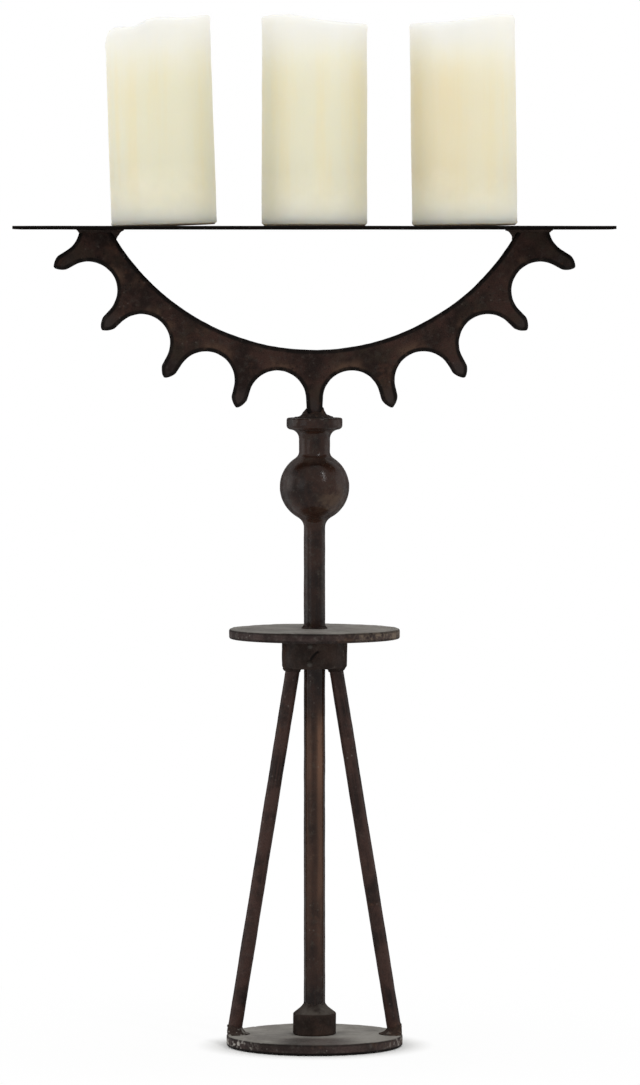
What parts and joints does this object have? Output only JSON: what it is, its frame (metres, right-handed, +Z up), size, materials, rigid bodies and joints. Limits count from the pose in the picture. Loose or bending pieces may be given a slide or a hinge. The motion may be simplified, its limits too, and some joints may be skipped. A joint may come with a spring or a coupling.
{
  "type": "candelabra",
  "caption": "Welded iron candle stand: a toothed wheel segment on a turned post with a round base carries a long flat plate of pillar candles that lift off.",
  "frame": {"origin": "middle of the base disc's underside", "axes": "+Z up along the post, +X along the top plate, -Y towards the viewer of the picture"},
  "size_m": [0.4278, 0.127, 0.7416],
  "materials": {
    "cast_gear": "rough cast, rusted brown",
    "turned_iron": "satin dark oxide",
    "plate_iron": "dark oxide, worn grey on top",
    "strip_iron": "dark mill scale",
    "bar_iron": "satin dark oxide with rust",
    "weld_metal": "rough weld bead",
    "wax": "soft ivory wax",
    "wick": "braided cotton, charred tip",
    "wick_tab": "thin pressed tin plate"
  },
  "bodies": {
    "stand": {"base_disc": "plate_iron", "post_socket": "turned_iron", "spindle_post": "turned_iron", "middle_disc": "plate_iron", "stay_collar": "turned_iron", "left_stay": "bar_iron", "right_stay": "bar_iron", "gear_segment": "cast_gear", "top_plate": "strip_iron", "plate_weld_left": "weld_metal", "plate_weld_right": "weld_metal", "flange_weld": "weld_metal", "disc_weld": "weld_metal", "stay_top_welds": "weld_metal", "stay_foot_welds": "weld_metal"},
    "candle_left": {"candle_left_wax": "wax", "candle_left_wick": "wick", "candle_left_wick_tab": "wick_tab"},
    "candle_centre": {"candle_centre_wax": "wax", "candle_centre_wick": "wick", "candle_centre_wick_tab": "wick_tab"},
    "candle_right": {"candle_right_wax": "wax", "candle_right_wick": "wick", "candle_right_wick_tab": "wick_tab"}
  },
  "joints": [
    {"name": "candle_left_lift", "type": "slide", "parent": "stand", "child": "candle_left", "axis": [0, 0, 1], "range_m": [0, 0.2]},
    {"name": "candle_centre_lift", "type": "slide", "parent": "stand", "child": "candle_centre", "axis": [0, 0, 1], "range_m": [0, 0.2]},
    {"name": "candle_right_lift", "type": "slide", "parent": "stand", "child": "candle_right", "axis": [0, 0, 1], "range_m": [0, 0.2]}
  ]
}
